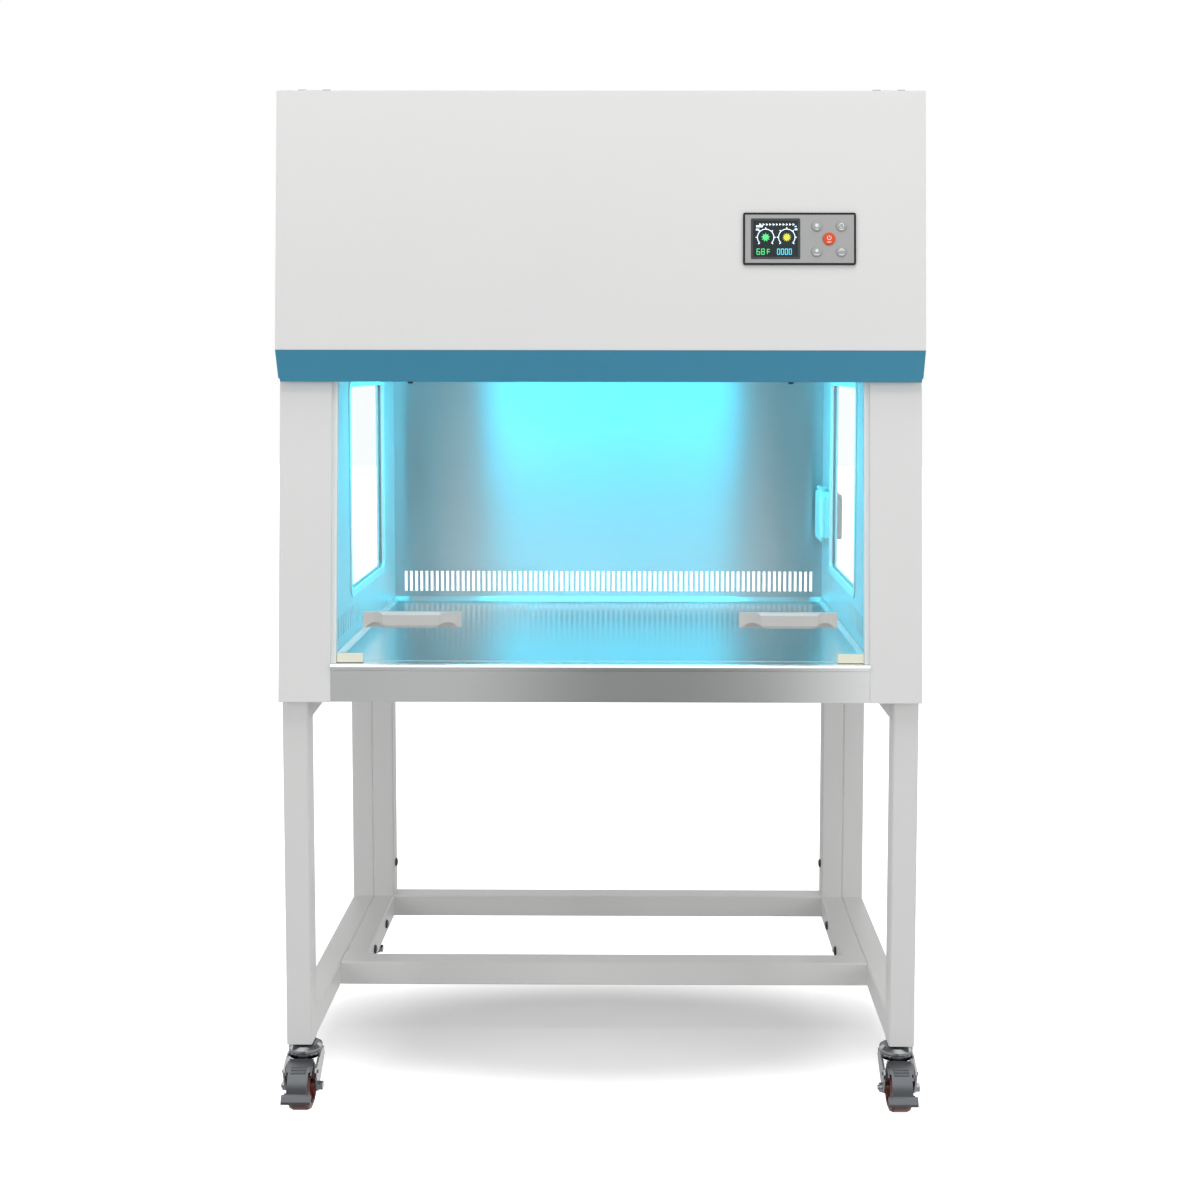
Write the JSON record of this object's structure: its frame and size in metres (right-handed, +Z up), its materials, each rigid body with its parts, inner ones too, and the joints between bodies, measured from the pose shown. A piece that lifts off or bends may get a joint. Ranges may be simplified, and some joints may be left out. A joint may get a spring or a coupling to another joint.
{
  "type": "laminar flow hood",
  "caption": "Vertical laminar flow clean bench: stainless work chamber with sliding glass sash under a blower head, on a tubular stand with braked casters.",
  "frame": {"origin": "centre of the footprint at floor level", "axes": "+X right as seen from the front, +Y into the depth towards the back, +Z up"},
  "size_m": [1.011, 0.7024, 1.6052],
  "materials": {
    "cream_paint": "smooth satin powder coat",
    "blue_paint": "satin blue powder coat",
    "stand_paint": "satin powder coat on square tube",
    "stainless": "brushed stainless sheet",
    "white_metal": "white coated slotted plate",
    "clear_glass": "clear polished toughened glass",
    "window_pane": "clear polished glass",
    "seal_rubber": "matt black rubber profile",
    "white_plastic": "white extruded plastic",
    "cream_plastic": "cream moulded plastic",
    "panel_plastic": "silver-grey satin membrane",
    "screen": "dark gloss display window",
    "grey_key": "grey satin key caps",
    "red_key": "orange-red key cap",
    "zinc_steel": "bright zinc plate",
    "black_steel": "black oxide",
    "wheel_nylon": "dark red-brown moulded nylon",
    "pedal_steel": "grey coated pressed steel",
    "galvanised": "galvanised sheet",
    "impeller_metal": "plain aluminium",
    "motor_metal": "black enamel",
    "filter_metal": "anodised extrusion",
    "filter_paper": "white pleated glass-fibre paper",
    "uv_lamp": "glowing germicidal lamp",
    "led_lamp": "frosted lamp",
    "outlet_plastic": "light grey moulding",
    "black_plastic": "black moulding"
  },
  "bodies": {
    "sash": {"sash_glass": "clear_glass", "sash_handle_left": "cream_plastic", "sash_handle_right": "cream_plastic", "sash_corner_guards": "cream_plastic"},
    "cover": {"front_cover": "cream_paint", "cover_skirt": "blue_paint", "cover_screws": "black_steel", "control_panel": "panel_plastic", "display": "screen"},
    "impeller": {"blower_rotor": "impeller_metal"},
    "outlet_lid": {"outlet_cover": "outlet_plastic"},
    "fan_key": {"fan_button": "grey_key"},
    "light_key": {"light_button": "grey_key"},
    "uv_key": {"uv_button": "grey_key"},
    "socket_key": {"socket_button": "grey_key"},
    "power_key": {"power_button": "red_key"},
    "caster_front_left": {"caster_fork_front_left": "zinc_steel"},
    "wheel_front_left": {"caster_wheel_front_left": "wheel_nylon"},
    "pedal_front_left": {"brake_pedal_front_left": "pedal_steel"},
    "caster_front_right": {"caster_fork_front_right": "zinc_steel"},
    "wheel_front_right": {"caster_wheel_front_right": "wheel_nylon"},
    "pedal_front_right": {"brake_pedal_front_right": "pedal_steel"},
    "caster_rear_left": {"caster_fork_rear_left": "zinc_steel"},
    "wheel_rear_left": {"caster_wheel_rear_left": "wheel_nylon"},
    "pedal_rear_left": {"brake_pedal_rear_left": "pedal_steel"},
    "caster_rear_right": {"caster_fork_rear_right": "zinc_steel"},
    "wheel_rear_right": {"caster_wheel_rear_right": "wheel_nylon"},
    "pedal_rear_right": {"brake_pedal_rear_right": "pedal_steel"},
    "cabinet": {"head_shell": "cream_paint", "column_left": "cream_paint", "column_right": "cream_paint", "base_box": "cream_paint", "intake_grille": "cream_paint", "side_frame_left": "stand_paint", "side_frame_right": "stand_paint", "inner_frame": "stand_paint", "work_surface": "stainless", "back_wall": "stainless", "side_wall_left": "stainless", "side_wall_right": "stainless", "diffuser": "white_metal", "window_glass_left": "window_pane", "window_glass_right": "window_pane", "window_seal_left": "seal_rubber", "window_seal_right": "seal_rubber", "sash_guide_left": "white_plastic", "sash_guide_right": "white_plastic", "lamp_holders": "white_plastic", "caster_mounts": "zinc_steel", "cover_hinges": "zinc_steel", "frame_bolts": "black_steel", "blower_deck": "galvanised", "blower_housing": "galvanised", "blower_motor": "motor_metal", "filter_frame": "filter_metal", "filter_media": "filter_paper", "uv_tube": "uv_lamp", "led_tube": "led_lamp", "outlet_box": "outlet_plastic", "power_inlet": "black_plastic"}
  },
  "joints": [
    {"name": "sash_slide", "type": "slide", "parent": "cabinet", "child": "sash", "axis": [0, 0.0872, 0.9962], "range_m": [0, 0.35]},
    {"name": "cover_hinge", "type": "hinge", "parent": "cabinet", "child": "cover", "pos_m": [0, -0.23634, 1.6022], "axis": [-1, 0, 0], "range_deg": [0, 80]},
    {"name": "fan_key_press", "type": "slide", "parent": "cover", "child": "fan_key", "axis": [0, 0.9962, -0.0872], "range_m": [0, 0.001], "stiffness_N_per_m": 600, "springref_m": -0.0005},
    {"name": "light_key_press", "type": "slide", "parent": "cover", "child": "light_key", "axis": [0, 0.9962, -0.0872], "range_m": [0, 0.001], "stiffness_N_per_m": 600, "springref_m": -0.0005},
    {"name": "uv_key_press", "type": "slide", "parent": "cover", "child": "uv_key", "axis": [0, 0.9962, -0.0872], "range_m": [0, 0.001], "stiffness_N_per_m": 600, "springref_m": -0.0005},
    {"name": "socket_key_press", "type": "slide", "parent": "cover", "child": "socket_key", "axis": [0, 0.9962, -0.0872], "range_m": [0, 0.001], "stiffness_N_per_m": 600, "springref_m": -0.0005},
    {"name": "power_key_press", "type": "slide", "parent": "cover", "child": "power_key", "axis": [0, 0.9962, -0.0872], "range_m": [0, 0.001], "stiffness_N_per_m": 600, "springref_m": -0.0005},
    {"name": "impeller_spin", "type": "hinge", "parent": "cabinet", "child": "impeller", "pos_m": [0, 0.09825, 1.462], "axis": [1, 0, 0], "continuous": true},
    {"name": "outlet_lid_hinge", "type": "hinge", "parent": "cabinet", "child": "outlet_lid", "pos_m": [0.407, 0.26325, 0.9425], "axis": [0, 1, 0], "range_deg": [0, 88]},
    {"name": "swivel_front_left", "type": "hinge", "parent": "cabinet", "child": "caster_front_left", "pos_m": [-0.4725, -0.27175, 0.08], "axis": [0, 0, 1], "continuous": true},
    {"name": "roll_front_left", "type": "hinge", "parent": "caster_front_left", "child": "wheel_front_left", "pos_m": [-0.4725, -0.29975, 0.0365], "axis": [1, 0, 0], "continuous": true},
    {"name": "brake_front_left", "type": "hinge", "parent": "caster_front_left", "child": "pedal_front_left", "pos_m": [-0.4725, -0.31175, 0.065], "axis": [1, 0, 0], "range_deg": [0, 7]},
    {"name": "swivel_front_right", "type": "hinge", "parent": "cabinet", "child": "caster_front_right", "pos_m": [0.4725, -0.27175, 0.08], "axis": [0, 0, 1], "continuous": true},
    {"name": "roll_front_right", "type": "hinge", "parent": "caster_front_right", "child": "wheel_front_right", "pos_m": [0.4725, -0.29975, 0.0365], "axis": [1, 0, 0], "continuous": true},
    {"name": "brake_front_right", "type": "hinge", "parent": "caster_front_right", "child": "pedal_front_right", "pos_m": [0.4725, -0.31175, 0.065], "axis": [1, 0, 0], "range_deg": [0, 7]},
    {"name": "swivel_rear_left", "type": "hinge", "parent": "cabinet", "child": "caster_rear_left", "pos_m": [-0.4725, 0.29625, 0.08], "axis": [0, 0, 1], "continuous": true},
    {"name": "roll_rear_left", "type": "hinge", "parent": "caster_rear_left", "child": "wheel_rear_left", "pos_m": [-0.4725, 0.26825, 0.0365], "axis": [1, 0, 0], "continuous": true},
    {"name": "brake_rear_left", "type": "hinge", "parent": "caster_rear_left", "child": "pedal_rear_left", "pos_m": [-0.4725, 0.25625, 0.065], "axis": [1, 0, 0], "range_deg": [0, 7]},
    {"name": "swivel_rear_right", "type": "hinge", "parent": "cabinet", "child": "caster_rear_right", "pos_m": [0.4725, 0.29625, 0.08], "axis": [0, 0, 1], "continuous": true},
    {"name": "roll_rear_right", "type": "hinge", "parent": "caster_rear_right", "child": "wheel_rear_right", "pos_m": [0.4725, 0.26825, 0.0365], "axis": [1, 0, 0], "continuous": true},
    {"name": "brake_rear_right", "type": "hinge", "parent": "caster_rear_right", "child": "pedal_rear_right", "pos_m": [0.4725, 0.25625, 0.065], "axis": [1, 0, 0], "range_deg": [0, 7]}
  ]
}
